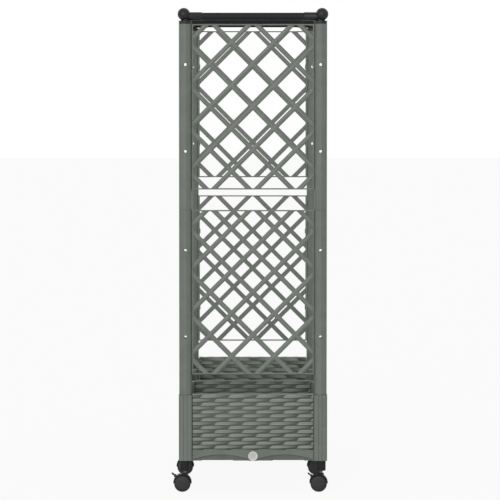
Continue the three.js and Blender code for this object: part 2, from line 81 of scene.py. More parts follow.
def grainOf(tree, size, stretch=(1, 1, 1), detail=3.0):
    # noise whose blobs are about `size` mm, drawn out along an axis by a small stretch
    place = addNode(tree, "ShaderNodeTexCoord")
    mapped = addNode(tree, "ShaderNodeMapping", {
        "Vector": place.outputs["Object"], "Scale": [s / (size * mm) for s in stretch]})
    noise = addNode(tree, "ShaderNodeTexNoise", {
        "Vector": mapped.outputs["Vector"], "Scale": 1.0, "Detail": detail, "Roughness": 0.55})
    return noise.outputs["Fac"]


def twoTone(tree, factor, low, high, span=noiseSpan):
    ramp = addNode(tree, "ShaderNodeValToRGB", {"Fac": factor})
    ramp.color_ramp.elements[0].position = span[0]
    ramp.color_ramp.elements[1].position = span[1]
    ramp.color_ramp.elements[0].color = linear(low)
    ramp.color_ramp.elements[1].color = linear(high)
    return ramp.outputs["Color"]


def ranged(tree, factor, low, high):
    limits = {"From Min": noiseSpan[0], "From Max": noiseSpan[1], "To Min": low, "To Max": high}
    return addNode(tree, "ShaderNodeMapRange", {"Value": factor, **limits}).outputs["Result"]


def bumpOf(tree, height, strength, distance):
    return addNode(tree, "ShaderNodeBump", {
        "Height": height, "Strength": strength, "Distance": distance * mm}).outputs["Normal"]


def mouldedPolypropylene(name, low, high, rough):
    # satin mould skin: soft highlight, faint mottling, a fine spark-eroded grain
    material, tree = newMaterial(name)
    mottle = grainOf(tree, 35)
    skin = grainOf(tree, 1.4, detail=2.0)  # real grain is about 0.3 mm, coarser here so it shows
    colour = twoTone(tree, mottle, low, high)
    finishMaterial(tree, {"IOR": 1.49, "Metallic": 0.0}, colour,
                   ranged(tree, skin, rough - 0.05, rough + 0.07), bumpOf(tree, skin, 0.25, 0.06))
    return material


def wovenPolypropylene(name, low, high):
    # moulded rattan strands: colour darkened as painted shade where a strand dips behind the next
    # and lighter on the crests, fine lines along it
    material, tree = newMaterial(name)
    lines = grainOf(tree, 1.1, stretch=(0.03, 0.03, 1))
    # the lift attribute paints shade: darkest on the core, lightest on the strands' crests
    lift = addNode(tree, "ShaderNodeAttribute", attribute_name="lift").outputs["Fac"]
    streaks = addNode(tree, "ShaderNodeMath", {0: lines, 1: 0.3}, operation="MULTIPLY")
    shade = addNode(tree, "ShaderNodeMath", {0: lift, 1: streaks.outputs[0]}, operation="ADD")
    colour = twoTone(tree, shade.outputs[0], low, high, (0.15, 1.1))
    finishMaterial(tree, {"IOR": 1.49, "Metallic": 0.0}, colour,
                   ranged(tree, lines, 0.5, 0.64), bumpOf(tree, lines, 0.4, 0.15))
    return material


def mouldedNylon(name, low, high, rough):
    # black glass-filled nylon: a highlight over a slight orange peel, wide where it is rough;
    # the IOR is below nylon's 1.53, since the real pieces reflect little
    material, tree = newMaterial(name)
    peel = grainOf(tree, 3.2, detail=1.0)
    dust = grainOf(tree, 22)
    finishMaterial(tree, {"IOR": 1.4, "Metallic": 0.0}, twoTone(tree, dust, low, high),
                   ranged(tree, dust, rough - 0.04, rough + 0.08), bumpOf(tree, peel, 0.12, 0.08))
    return material


def powderCoatedSteel(name, low, high):
    # black powder coat on tube: even and dull with a fine pebbled skin
    material, tree = newMaterial(name)
    pebble = grainOf(tree, 1.2, detail=1.0)  # about 0.4 mm on the real tube
    cloud = grainOf(tree, 60)
    finishMaterial(tree, {"IOR": 1.5, "Specular IOR Level": 0.25, "Metallic": 0.0},
                   twoTone(tree, cloud, low, high), ranged(tree, pebble, 0.5, 0.62),
                   bumpOf(tree, pebble, 0.3, 0.05))
    return material


def blackenedSteel(name):
    # turned and blackened: dark, with faint rings from the lathe
    material, tree = newMaterial(name)
    rings = grainOf(tree, 0.8, stretch=(0.05, 0.05, 1))
    finishMaterial(tree, {"Metallic": 1.0}, twoTone(tree, rings, "#4a4b4d", "#5b5c5e"),
                   ranged(tree, rings, 0.3, 0.44), bumpOf(tree, rings, 0.2, 0.03))
    return material


finishes = {
    "post": mouldedPolypropylene("satinPolypropylene", "#6d736c", "#767c75", 0.5),
    # the inner skin behind the arches is the same plastic painted darker: painted shade in the
    # recess
    "recessPaintedShade": mouldedPolypropylene("shadedPolypropylene", "#616660", "#6a6f68", 0.6),
    "lattice": mouldedPolypropylene("latticePolypropylene", "#727871", "#7d837b", 0.48),
    # the woven colour runs from painted shade on the core to a lighter tone on the crests
    "weave": wovenPolypropylene("rattanPolypropyleneWithPaintedShade", "#555a53", "#9ba198"),
    "tray": mouldedPolypropylene("matteTrayPolypropylene", "#454846", "#505351", 0.6),
    "plug": mouldedPolypropylene("palePolyethylene", "#e8e8e4", "#eeeeea", 0.42),
    # the dish is the same plastic painted darker: painted shade in its hollow
    "plugDish": mouldedPolypropylene("shadedPolyethyleneDish", "#d1d1cd", "#d9d9d5", 0.5),
    "black": mouldedNylon("blackNylon", "#131416", "#1a1b1d", 0.4),
    "collar": mouldedNylon("dullBlackNylon", "#1b1c1e", "#222325", 0.8),
    "tube": powderCoatedSteel("blackPowderCoat", "#161719", "#1d1e20"),
    "wheel": mouldedNylon("wheelNylon", "#1a1b1d", "#222325", 0.46),
    "steel": blackenedSteel("blackenedSteel"),
}
print("materials made")

# meshes from rings and profiles, in mm
cornerSteps = 6  # facets round a rounded corner
# a groove's section: distance from its middle in half widths, and share of its depth
grooveSection = ((-1.5, 0), (-1, 0.25), (-0.75, 1), (0.75, 1), (1, 0.25), (1.5, 0))
throughReach = 30  # a cutting rod runs this far to either side


def newShape():
    return {"points": [], "faces": []}


def addRings(shape, rings, loop=False):
    # rings of one length joined in order, the ends closed unless they meet in a loop
    start, count = len(shape["points"]), len(rings[0])
    for ring in rings:
        shape["points"].extend(tuple(p) for p in ring)
    for i in range(len(rings) if loop else len(rings) - 1):
        a = start + i * count
        b = start + (i + 1) % len(rings) * count
        for j in range(count):
            k = (j + 1) % count
            shape["faces"].append((a + j, a + k, b + k, b + j))
    if not loop:
        last = start + (len(rings) - 1) * count
        shape["faces"].append(tuple(range(start + count - 1, start - 1, -1)))
        shape["faces"].append(tuple(range(last, last + count)))
    return shape


def addTurned(shape, profile, steps, axis="Z", at=(0, 0, 0)):
    # a profile of (radius, along) turned round an axis through `at`
    rings = []
    for radius, along in profile:
        ring = []
        for i in range(steps):
            angle = (i + 0.5) / steps * math.tau
            u, v = radius * math.cos(angle), radius * math.sin(angle)
            local = {"Z": (u, v, along), "Y": (u, along, v), "X": (along, u, v)}[axis]
            ring.append(tuple(a + b for a, b in zip(local, at)))
        rings.append(ring)
    return addRings(shape, rings)


def addShape(shape, other):
    start = len(shape["points"])
    shape["points"].extend(other["points"])
    shape["faces"].extend(tuple(start + i for i in f) for f in other["faces"])
    return shape


def insetLoop(loop, distance):
    # each point moved in by `distance`, for a loop that runs anticlockwise
    moved = []
    for i, here in enumerate(loop):
        before, after = Vector(loop[i - 1]), Vector(loop[(i + 1) % len(loop)])
        here = Vector(here)
        a, b = (here - before).normalized(), (after - here).normalized()
        na, nb = Vector((-a.y, a.x)), Vector((-b.y, b.x))
        both = (na + nb) / max(0.35, 1 + na.dot(nb))
        moved.append(tuple(here + both * distance))
    return moved


def addPlate(shape, loop, axis, low, high, bevel):
    # a flat outline with some thickness along an axis and bevelled rims
    place = {"Z": lambda p, h: (p[0], p[1], h), "Y": lambda p, h: (p[0], h, p[1])}[axis]
    inner = insetLoop(loop, bevel)
    levels = [(inner, low), (loop, low + bevel), (loop, high - bevel), (inner, high)]
    return addRings(shape, [[place(p, h) for p in ring] for ring, h in levels])


def addBlock(shape, low, high, bevel):
    # a box between two corners, bevelled all round
    (x0, y0, z0), (x1, y1, z1), b = low, high, bevel
    loop = [(x0 + b, y0), (x1 - b, y0), (x1, y0 + b), (x1, y1 - b),
            (x1 - b, y1), (x0 + b, y1), (x0, y1 - b), (x0, y0 + b)]
    return addPlate(shape, loop, "Z", z0, z1, b)


def squareLoop(half, radius, bulge=0.0, grooved=(), groove=None):
    # a square with round corners; its faces may swell and carry two grooves
    side = half - bulge
    middle = side - radius
    loop = []
    for corner in range(4):
        turn = Matrix.Rotation(corner * math.pi / 2, 2)
        across = [(-1 + i / 4, 0) for i in range(1, 8)]
        if corner in grooved:
            across = []
            for centre in (-groove["offset"], groove["offset"]):
                for step, share in grooveSection:
                    offset = centre + step * groove["width"] / 2
                    across.append((offset / middle, share * groove["depth"]))
        for t, deep in across:
            loop.append(tuple(turn @ Vector((side + bulge * (1 - t * t) - deep, t * middle))))
        for i in range(cornerSteps + 1):
            angle = i / cornerSteps * math.pi / 2
            loop.append(tuple(turn @ Vector((middle + radius * math.cos(angle),
                                             middle + radius * math.sin(angle)))))
    return loop


def rawObject(name, shape):
    mesh = bpy.data.meshes.new(name)
    mesh.from_pydata(shape["points"], [], shape["faces"])
    bm = bmesh.new()
    bm.from_mesh(mesh)
    bmesh.ops.recalc_face_normals(bm, faces=bm.faces)
    bm.to_mesh(mesh)
    bm.free()
    raw = bpy.data.objects.new(name, mesh)
    bpy.context.scene.collection.objects.link(raw)
    return raw


def carved(shape, tools):
    # the shape with the closed solids of `tools` taken out of it
    body, tool = rawObject("carvedBody", shape), rawObject("carvingTool", tools)
    away = body.modifiers.new("away", "BOOLEAN")
    away.operation, away.solver, away.object = "DIFFERENCE", "EXACT", tool
    bpy.context.view_layer.update()
    mesh = body.evaluated_get(bpy.context.evaluated_depsgraph_get()).to_mesh()
    made = {"points": [tuple(v.co) for v in mesh.vertices],
            "faces": [tuple(p.vertices) for p in mesh.polygons]}
    for old in (body, tool):
        bpy.data.objects.remove(old, do_unlink=True)
    return made


def makePiece(name, shape, finish, slotName, node, body=frameBody, at=(0, 0, 0), turn=0,
              sharp=32, paintedShadeOf=None):
    # one visible piece in place of a node or a part of it; edges over `sharp` degrees stay crisp
    place = Matrix.Translation(at) @ Matrix.Rotation(math.radians(turn), 4, "Z")
    placed = [tuple(place @ Vector(p) * mm) for p in shape["points"]]
    piece = rawObject(name, {"points": placed, "faces": shape["faces"]})
    for face in piece.data.polygons:
        face.use_smooth = True
    piece.data.set_sharp_from_angle(angle=math.radians(sharp))
    # a per-point value that the woven finish turns into painted shade
    if paintedShadeOf:
        lift = piece.data.attributes.new("lift", "FLOAT", "POINT")
        lift.data.foreach_set("value", [paintedShadeOf(p) for p in shape["points"]])
    piece.data.materials.append(finishes[finish])
    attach(piece, body)
    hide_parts(node)


# where the pieces that repeat stand, and the turn that faces them outward
corners = {"front_left": (-sideLine, -endLine, 0), "front_right": (sideLine, -endLine, 90),
           "rear_right": (sideLine, endLine, 180), "rear_left": (-sideLine, endLine, 270)}
ends = {"front": (-endLine, 0), "rear": (endLine, 180)}
sides = {"left": (-sideLine, -90), "right": (sideLine, 90)}

# posts: two hollow segments to a corner, with swollen faces and two through holes for pins
post = {"half": 18.75, "radius": 6.5, "bulge": 2.6, "wall": 3.6, "boreRadius": 4, "edge": 0.5,
        "length": 543.5, "foot": 286.3, "gap": 0.3, "pinHoles": (119, 373), "pinRadius": 4.25}


def postShape():
    outer = squareLoop(post["half"], post["radius"], post["bulge"])
    rim = insetLoop(outer, post["edge"])
    bore = squareLoop(post["half"] - post["wall"], post["boreRadius"])
    high, edge = post["length"], post["edge"]
    levels = [(rim, 0), (outer, edge), (outer, high - edge), (rim, high), (bore, high), (bore, 0)]
    tube = addRings(newShape(), [[(x, y, z) for x, y in ring] for ring, z in levels], loop=True)
    tools, pin = newShape(), post["pinRadius"]
    for below in post["pinHoles"]:
        addTurned(tools, [(pin, -throughReach), (pin, throughReach)], 20, "Y", (0, 0, high - below))
    return carved(tube, tools)


segment = postShape()
upperFoot = post["foot"] + post["length"] + post["gap"]
for corner, (x, y, _) in corners.items():
    for level, foot in (("lower", post["foot"]), ("upper", upperFoot)):
        makePiece(f"{corner}_{level}_post_skin", segment, "post", "grey_resin",
                  f"{corner}_{level}_post", at=(x, y, foot))
print("posts made")

# trellis panels: a lattice of ridged strips in a thin rail frame
trellis = {"half": 178.95, "height": 483.5, "rail": 3.6, "depth": 5.0, "bevel": 0.7, "drop": 1,
           # across a strip: distance from its middle, and how far its outer face stands out
           "strip": ((0, 4.15), (2.6, 3.95), (5.6, 2.75), (6.5, 2.1), (7, 1.2)),
           "back": 2.5, "backEdge": 0.6, "pitch": 125.5, "tuck": 1.2,  # the strips end in the rail
           "lug": 15, "lugReach": 2, "lugDepth": 2.5, "lugBevel": 0.6}


def latticeShape():
    # two families of strips on one square grid turned by 45 degrees, their crossings flush
    spacing = trellis["pitch"] / math.sqrt(2)
    count = math.ceil((trellis["half"] + trellis["height"] / 2) / trellis["pitch"])
    offsets = [-d for d, h in reversed(trellis["strip"])] + [d for d, h in trellis["strip"][1:]]
    heights = [h for d, h in reversed(trellis["strip"])] + [h for d, h in trellis["strip"][1:]]
    lines, levels, solid = [], [], []
    for k in range(-count, count + 1):
        for i, offset in enumerate(offsets):
            lines.append(k * spacing + offset)
            levels.append(heights[i])
            solid.append(i < len(offsets) - 1)  # the span after this line belongs to a strip
    size = len(lines)
    bm = bmesh.new()
    front, back = {}, {}

    def pointAt(i, j, level):
        u, v = lines[i], lines[j]
        x, z = (u + v) / math.sqrt(2), (u - v) / math.sqrt(2)
        return bm.verts.new((x, level, z))

    filled = {(i, j) for i in range(size - 1) for j in range(size - 1) if solid[i] or solid[j]}
    for i in range(size):
        for j in range(size):
            near = [c for c in ((i - 1, j - 1), (i, j - 1), (i - 1, j), (i, j)) if c in filled]
            if near:
                onU = solid[i] or (i > 0 and solid[i - 1])
                onV = solid[j] or (j > 0 and solid[j - 1])
                high = max(levels[i] if onU else 0, levels[j] if onV else 0)
                edge = high <= trellis["strip"][-1][1]
                front[i, j] = pointAt(i, j, -high)
                back[i, j] = pointAt(i, j, trellis["back"] - (trellis["backEdge"] if edge else 0))
    for i, j in filled:
        ring = [(i, j), (i + 1, j), (i + 1, j + 1), (i, j + 1)]
        bm.faces.new([front[c] for c in ring])
        bm.faces.new([back[c] for c in reversed(ring)])
        for (a, b), beside in zip(zip(ring, ring[1:] + ring[:1]),
                                  ((i, j - 1), (i + 1, j), (i, j + 1), (i - 1, j))):
            if beside not in filled:
                bm.faces.new([front[a], back[a], back[b], front[b]])
    # the four cuts that end the strips just inside the rail
    wide, high = trellis["half"] - trellis["tuck"], trellis["height"] / 2 - trellis["tuck"]
    for point, normal in (((wide, 0, 0), (1, 0, 0)), ((-wide, 0, 0), (-1, 0, 0)),
                          ((0, 0, high), (0, 0, 1)), ((0, 0, -high), (0, 0, -1))):
        made = bmesh.ops.bisect_plane(bm, geom=bm.verts[:] + bm.edges[:] + bm.faces[:], dist=1e-4,
                                      plane_co=point, plane_no=normal, clear_outer=True)
        cutEdges = [e for e in made["geom_cut"] if isinstance(e, bmesh.types.BMEdge)]
        bmesh.ops.holes_fill(bm, edges=cutEdges, sides=0)
    bm.verts.index_update()
    made = {"points": [tuple(v.co) for v in bm.verts],
            "faces": [tuple(v.index for v in f.verts) for f in bm.faces]}
    bm.free()
    return made


def railShape():
    # the thin frame round the lattice, mitred at its corners, with lugs at the pins' height
    shape = newShape()
    deep, wide, b = trellis["depth"], trellis["rail"], trellis["bevel"]
    section = [(0, -deep + b), (b, -deep), (wide - b, -deep), (wide, -deep + b),
               (wide, deep - b), (wide - b, deep), (b, deep), (0, deep - b)]
    half, high = trellis["half"], trellis["height"] / 2
    rings = [[(sx * (half - d), y, sz * (high - d)) for d, y in section]
             for sx, sz in ((-1, -1), (1, -1), (1, 1), (-1, 1))]
    addRings(shape, rings, loop=True)
    for below in post["pinHoles"]:
        up = high - below + trellis["drop"]
        for side in (-1, 1):
            xs = sorted((side * (half - wide - trellis["lugReach"]), side * half))
            addBlock(shape, (xs[0], -trellis["lugDepth"], up - trellis["lug"] / 2),
                     (xs[1], trellis["lugDepth"], up + trellis["lug"] / 2), trellis["lugBevel"])
    return shape


panel = addShape(railShape(), latticeShape())
rise = post["length"] - trellis["height"] / 2 - trellis["drop"]
for end, (y, turn) in ends.items():
    for level, foot in (("lower", post["foot"]), ("upper", upperFoot)):
        makePiece(f"{end}_{level}_trellis_lattice", panel, "lattice", "grey_resin",
                  f"{end}_{level}_trellis", at=(0, y, foot + rise), turn=turn, sharp=24)
print("trellis panels made")

# top connectors, with a ball over each corner, and the tubes between them
top = {"foot": 1373.6, "axisUp": 21.8, "plateFoot": 0.3, "plate": 9, "plateBevel": 0.6,
       "neck": ((14.5, 8.5), (12.6, 9.6), (12.2, 12), (12.6, 24)),  # radius and height
       "sleeve": 11.9, "reach": 48.5, "socket": 30, "ball": 18.2, "ballOut": 4, "ballUp": 27.9,
       "tube": 10.4, "tubeWall": 1.6, "slip": 0.3, "across": 357, "along": 1149, "tee": 24}
tubeUp = top["foot"] + top["axisUp"]


def addSleeve(shape, axis, low, high, up):
    # a sleeve along an axis from `low`, open at `high` where a tube goes in
    r, bore = top["sleeve"], top["tube"] + top["slip"]
    profile = [(r - 3, low), (r, low + 2), (r, high - 0.8), (r - 0.5, high), (bore, high),
               (bore, high - top["socket"])]
    return addTurned(shape, profile, 36, axis, (0, 0, up))


def connectorShape():
    # cap plate, neck, ball and two sleeves, for the front left corner
    shape, pole, steps = newShape(), 8, 22  # the ball's profile starts 8 degrees off its pole
    square = squareLoop(post["half"], post["radius"], post["bulge"])
    addPlate(shape, square, "Z", top["plateFoot"], top["plate"], top["plateBevel"])
    addTurned(shape, top["neck"], 32)
    angles = [math.radians(pole + (180 - 2 * pole) * i / steps) for i in range(steps + 1)]
    ball = [(top["ball"] * math.sin(a), -top["ball"] * math.cos(a)) for a in angles]
    addTurned(shape, ball, 40, "Z", (-top["ballOut"], -top["ballOut"], top["ballUp"]))
    for axis in ("X", "Y"):
        addSleeve(shape, axis, -2, top["reach"], top["axisUp"])
    return shape


def tubeShape(length):
    r, bore, end = top["tube"], top["tube"] - top["tubeWall"], length / 2
    profile = [(bore, -end), (r - 0.2, -end), (r, -end + 0.3), (r, end - 0.3), (r - 0.2, end),
               (bore, end)]
    return addTurned(newShape(), profile, 40, "X")


def teeShape():
    # the moulded tee round a long tube's middle, its sleeve towards the middle cross tube
    r, half = top["sleeve"], top["tee"]
    profile = [(r - 1.2, -half), (r - 0.4, -half), (r, -half + 0.5), (r, half - 0.5),
               (r - 0.4, half), (r - 1.2, half)]
    return addSleeve(addTurned(newShape(), profile, 36, "X"), "Y", 0, top["reach"], 0)


connector = connectorShape()
for corner, (x, y, turn) in corners.items():
    makePiece(f"{corner}_connector_cap", connector, "black", "black_resin",
              f"{corner}_connector", at=(x, y, top["foot"]), turn=turn, sharp=38)
for place, y in (("front", -endLine), ("middle", 0), ("rear", endLine)):
    makePiece(f"{place}_top_tube_coated", tubeShape(top["across"]), "tube", "coated_tube",
              f"{place}_top_tube", at=(0, y, tubeUp))
sideTube = (("coated", tubeShape(top["along"]), "tube"), ("tee", teeShape(), "black"))
for side, (x, turn) in sides.items():
    for part, shape, finish in sideTube:
        makePiece(f"{side}_top_tube_{part}", shape, finish, "coated_tube", f"{side}_top_tube",
                  at=(x, 0, tubeUp), turn=turn)
print("connectors and tubes made")

# woven walls: a flat core with moulded strands on both faces, over a plain band with two arches
wall = {"half": 177.8, "foot": 91.4, "bandTop": 123.9, "rim": 291, "bandOut": 15.5,
        "inner": 6.5, "skin": 2.2, "coreOut": 10.9, "coreIn": 8.6, "coreUnder": 3,
        # strands, staggered by half a period from row to row
        "margin": 1.0, "row": 11.5, "firstRow": 132, "rows": 14, "period": 81, "start": -35.4,
        "strandShare": 0.985, "shortest": 2, "crest": 4.1, "crestIn": 2.2, "sink": 0.3, "root": 0.8,
        "archMiddle": 93.5, "archHalf": 81, "archRise": 18.4, "archWide": 95, "archSteps": 24,
        "notchMiddle": 104.2, "notchLength": 91, "notchRise": 1.5,
        # the tab under the floor's edge: half its length, height, reach inward on sides and ends
        "ledge": 12.9, "ledgeHeight": 1.5, "sideLedge": 37.9, "endLedge": 11.9,
        "bandBevel": 0.8, "skinBevel": 0.3, "edgeBevel": 0.4}
# the rope along the rim, with a bead every 10 mm
rope = {"out": 10, "under": 3.5, "thick": 3.4, "high": 3.3, "sides": 10, "step": 2.5, "bead": 10,
        "waist": 0.84, "wave": 0.35}
# the drain plug; the end walls take its hole
plug = {"flange": 14, "dish": 9.4, "stem": 8.6, "out": 15.8, "up": 105.7, "end": -0.3, "hole": 8.9}
# along one raised strand: share of its length, lower edge, upper edge, height of the crest
strandKeys = ((0.0, -0.40, -0.34, 0.12), (0.035, -0.46, -0.08, 0.55), (0.09, -0.48, 0.26, 0.88),
              (0.16, -0.48, 0.44, 1.0), (0.34, -0.47, 0.47, 0.96), (0.52, -0.43, 0.48, 0.76),
              (0.70, -0.36, 0.48, 0.50), (0.86, -0.24, 0.48, 0.27), (1.0, -0.05, 0.44, 0.06))
# across it: two cords side by side
cordKeys = ((0.0, 0.0), (0.05, 0.55), (0.16, 0.92), (0.28, 1.0), (0.40, 0.88), (0.5, 0.66),
            (0.60, 0.88), (0.72, 1.0), (0.84, 0.92), (0.95, 0.55), (1.0, 0.0))


def between(keys, t):
    # the values of two neighbouring keys, blended at t
    for a, b in zip(keys, keys[1:]):
        if t <= b[0]:
            share = (t - a[0]) / (b[0] - a[0])
            return [p + (q - p) * share for p, q in zip(a[1:], b[1:])]
    return list(keys[-1][1:])


def addStrands(shape, half, rows, base, crest, outward):
    # raised strands over a flat core, every second row half a period on
    length = wall["period"] * wall["strandShare"]
    for row in range(-1, rows):  # the lowest one mostly hides behind the band
        up = wall["firstRow"] + row * wall["row"]
        first = wall["start"] + (wall["period"] / 2 if row % 2 else 0)
        for n in range(-4, 4):
            start = first + n * wall["period"]
            low, high = max(start, -half), min(start + length, half)
            if high - low < wall["shortest"]:
                continue
            shares = {(low - start) / length, (high - start) / length}
            shares |= {k[0] for k in strandKeys if low < start + k[0] * length < high}
            rings = []
            for t in sorted(shares):
                lower, upper, lift = between(strandKeys, t)
                x, root, ring = start + t * length, outward * (base - wall["root"]), []
                for s, h in cordKeys:
                    z = up + (lower + (upper - lower) * s) * wall["row"]
                    ring.append((x, outward * (base + h * lift * crest), z))
                ring.append((x, root, up + upper * wall["row"]))
                ring.append((x, root, up + lower * wall["row"]))
                rings.append(ring)
            addRings(shape, rings)


def addRope(shape, half, out, thick):
    # a twisted strand that swells at each bead and waves a little with the weave
    rings, up, waist = [], wall["rim"] - rope["under"], rope["waist"]
    steps = int(half * 2 / rope["step"])
    for i in range(steps + 1):
        x = -half + 2 * half * i / steps
        wave = rope["wave"] * math.sin(math.tau * (x - wall["start"]) / (wall["period"] / 2))
        ring = []
        for j in range(rope["sides"]):
            angle = j / rope["sides"] * math.tau
            bead = waist + (1 - waist) * abs(math.sin(math.pi * x / rope["bead"] + angle / 2))
            ring.append((x, out + thick * bead * math.cos(angle),
                         up + wave + rope["high"] * bead * math.sin(angle)))
        rings.append(ring)
    addRings(shape, rings)


def bandLoop():
    # each arch is a flat curve that ends in short upright steps
    half, foot, high, steps = wall["half"], wall["foot"], wall["bandTop"], wall["archSteps"]
    loop = [(half, foot), (half, high), (-half, high), (-half, foot)]
    for middle in (-wall["archMiddle"], wall["archMiddle"]):
        loop.append((middle - wall["archHalf"], foot))
        for i in range(steps + 1):
            out = (2 * i / steps - 1) * wall["archHalf"]
            rise = wall["archRise"] * (1 - (out / wall["archWide"]) ** 2)
            loop.append((middle + out, foot + rise))
        loop.append((middle + wall["archHalf"], foot))
    return loop


def skinLoop():
    # behind the arches, with a shallow notch in the foot under each
    half, foot, high = wall["half"], wall["foot"], wall["foot"] + wall["notchRise"]
    loop = [(half, wall["bandTop"] - 1), (-half, wall["bandTop"] - 1), (-half, foot)]
    for middle in (-wall["notchMiddle"], wall["notchMiddle"]):
        low, far = middle - wall["notchLength"] / 2, middle + wall["notchLength"] / 2
        loop += [(low - 1, foot), (low, high), (far, high), (far + 1, foot)]
    return loop + [(half, foot)]


def bandShapes(ledgeReach, plugHole=False):
    # the plain band with its two arches, and what shows behind them: the inner skin and the tab
    inner, foot = -wall["inner"], wall["foot"]
    face = inner - wall["skin"]
    band = addPlate(newShape(), bandLoop(), "Y", -wall["bandOut"], face + 0.2, wall["bandBevel"])
    skin = addPlate(newShape(), skinLoop(), "Y", face, inner, wall["skinBevel"])
    if plugHole:
        rod = [(plug["hole"], -20), (plug["hole"], 10)]
        tools = addTurned(newShape(), rod, 32, "Y", (0, 0, plug["up"]))
        band, skin = carved(band, tools), carved(skin, tools)
    addBlock(skin, (-wall["ledge"], inner - 0.8, foot + 0.1),
             (wall["ledge"], inner + ledgeReach, foot + wall["ledgeHeight"]), wall["edgeBevel"])
    return band, skin


def wovenShape():
    # core, strands on both faces and the rope on the rim
    shape, under, sink = newShape(), wall["coreUnder"], wall["sink"]
    addBlock(shape, (-wall["half"], -wall["coreOut"], wall["bandTop"] - under),
             (wall["half"], -wall["coreIn"], wall["rim"] - under), wall["edgeBevel"])
    field = wall["half"] - wall["margin"]
    addStrands(shape, field, wall["rows"], wall["coreOut"] - sink, wall["crest"], -1)
    addStrands(shape, field, wall["rows"], -wall["coreIn"] - sink, wall["crestIn"], 1)
    addRope(shape, wall["half"], -rope["out"], rope["thick"])
    return shape


def wallLift(point):
    # 0 on the core and 1 on a strand's crest; the woven finish paints shade from it, darkest on the
    # core
    out = (-point[1] - wall["coreOut"]) / (wall["crest"] - wall["sink"])
    inward = (point[1] + wall["coreIn"]) / (wall["crestIn"] - wall["sink"])
    return min(max(out, inward, 0), 1)


# columns, with two grooves in each face that shows
column = {"half": 19.9, "radius": 6, "foot": 91.5, "top": 286, "bevel": 0.6,
          "groove": {"offset": 5.5, "width": 1.8, "depth": 1.3}}


def columnShape(grooved):
    loop = squareLoop(column["half"], column["radius"], 0.0, grooved, column["groove"])
    return addPlate(newShape(), loop, "Z", column["foot"], column["top"], column["bevel"])


woven = wovenShape()
sideBands, endBands = bandShapes(wall["sideLedge"]), bandShapes(wall["endLedge"], plugHole=True)


def makeWall(name, bands, **spot):
    makePiece(f"{name}_woven", woven, "weave", "woven_resin", name, sharp=50, paintedShadeOf=wallLift,
              **spot)
    makePiece(f"{name}_band", bands[0], "post", "woven_resin", name, **spot)
    # the inner skin's darker finish is painted shade behind the arches
    makePiece(f"{name}_inner_skin", bands[1], "recessPaintedShade", "woven_resin", name, **spot)


for end, (y, turn) in ends.items():
    makeWall(f"{end}_wall", endBands, at=(0, y, 0), turn=turn)
cornerColumn, middleColumn = columnShape((2, 3)), columnShape((3,))  # 2 faces -X, 3 faces -Y
for corner, (x, y, turn) in corners.items():
    makePiece(f"{corner}_column_grooved", cornerColumn, "post", "grey_resin", f"{corner}_column",
              at=(x, y, 0), turn=turn)
for side, (x, turn) in sides.items():
    for part, y in (("front", -modulePitch), ("middle", 0), ("rear", modulePitch)):
        makeWall(f"{side}_{part}_wall", sideBands, at=(x, y, 0), turn=turn)
    for part, y in (("front", -sideLine), ("rear", sideLine)):
        makePiece(f"{side}_{part}_middle_column", middleColumn, "post", "woven_resin",
                  f"{side}_middle_wall", at=(x, y, 0), turn=turn)
print("woven walls and columns made")

# divider between the front bay and the two behind it, woven on both faces
divider = {"half": 177.8, "foot": 93.2, "core": 1.6, "crest": 2.2, "rope": 3.6}


def dividerShape():
    shape, half, core = newShape(), divider["half"], divider["core"]
    addBlock(shape, (-half, -core, divider["foot"]),
             (half, core, wall["rim"] - wall["coreUnder"]), wall["edgeBevel"])
    for outward in (-1, 1):
        addStrands(shape, half - wall["margin"], wall["rows"], core - wall["sink"],
                   divider["crest"], outward)
    addRope(shape, half, 0, divider["rope"])
    return shape


def dividerLift(point):
    # 0 on the core and 1 on a crest; the woven finish paints shade from it
    lift = (abs(point[1]) - divider["core"]) / (divider["crest"] - wall["sink"])
    return min(max(lift, 0), 1)


makePiece("divider_woven", dividerShape(), "weave", "woven_resin", "divider", at=(0, -sideLine, 0),
          sharp=50, paintedShadeOf=dividerLift)
for end in ends:
    for part in ("water_tray", "watering_floor"):  # plain solids, so they take only a finish
        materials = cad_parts[f"{end}_{part}"].data.materials
        materials.clear()
        materials.append(finishes["tray"])
print("divider, trays and floors dressed")

# drain plugs: a raised ring with its stem, and a dished disc painted darker as painted shade in its
# hollow; (radius, along) from the wall
face, flange, dish, stem = -plug["out"], plug["flange"], plug["dish"], plug["stem"]
plugRing = [(dish - 1, face - 1.2), (dish, face - 1.9), (9.9, face - 2.7), (10.6, face - 2.9),
            (flange - 0.8, face - 2.8), (flange, face - 1.9), (flange, face - 0.3),
            (flange - 0.3, face), (stem, face), (stem, plug["end"] - 2), (stem - 1.4, plug["end"])]
plugDish = [(dish - 2, face - 1.6), (dish + 0.2, face - 1.8), (dish + 0.2, face)]
for end, (y, turn) in ends.items():
    for part, profile, finish in (("dished", plugRing, "plug"), ("disc", plugDish, "plugDish")):
        makePiece(f"{end}_drain_plug_{part}", addTurned(newShape(), profile, 48, "Y"), finish,
                  "plug_resin", f"{end}_drain_plug", body=f"{end}_plug", at=(0, y, plug["up"]),
                  turn=turn)

# casters: twin wheels under a hood that swivels about its stem, with a brake lever at the corners
caster = {"radius": 24.2, "trail": 7.15, "out": 2.4, "outer": 17, "inner": 5,
          "hood": 28.5, "hoodWall": 2.9, "hoodTaper": 1.6, "hoodBevel": 0.7, "hoodSteps": 40,
          "halfWidth": 16.4, "webInner": 8, "webOuter": 26.5, "webHalf": 4.2,
          "collar": 13.7, "collarFoot": 61.5, "collarTop": 91.2,
          "stem": 4.8, "stemFoot": 52, "stemTop": 106,
          "leverPivot": (-22.2, 22.6), "leverTip": (-30.5, 29.2), "leverHalf": 9.5, "leverPin": 1.5}


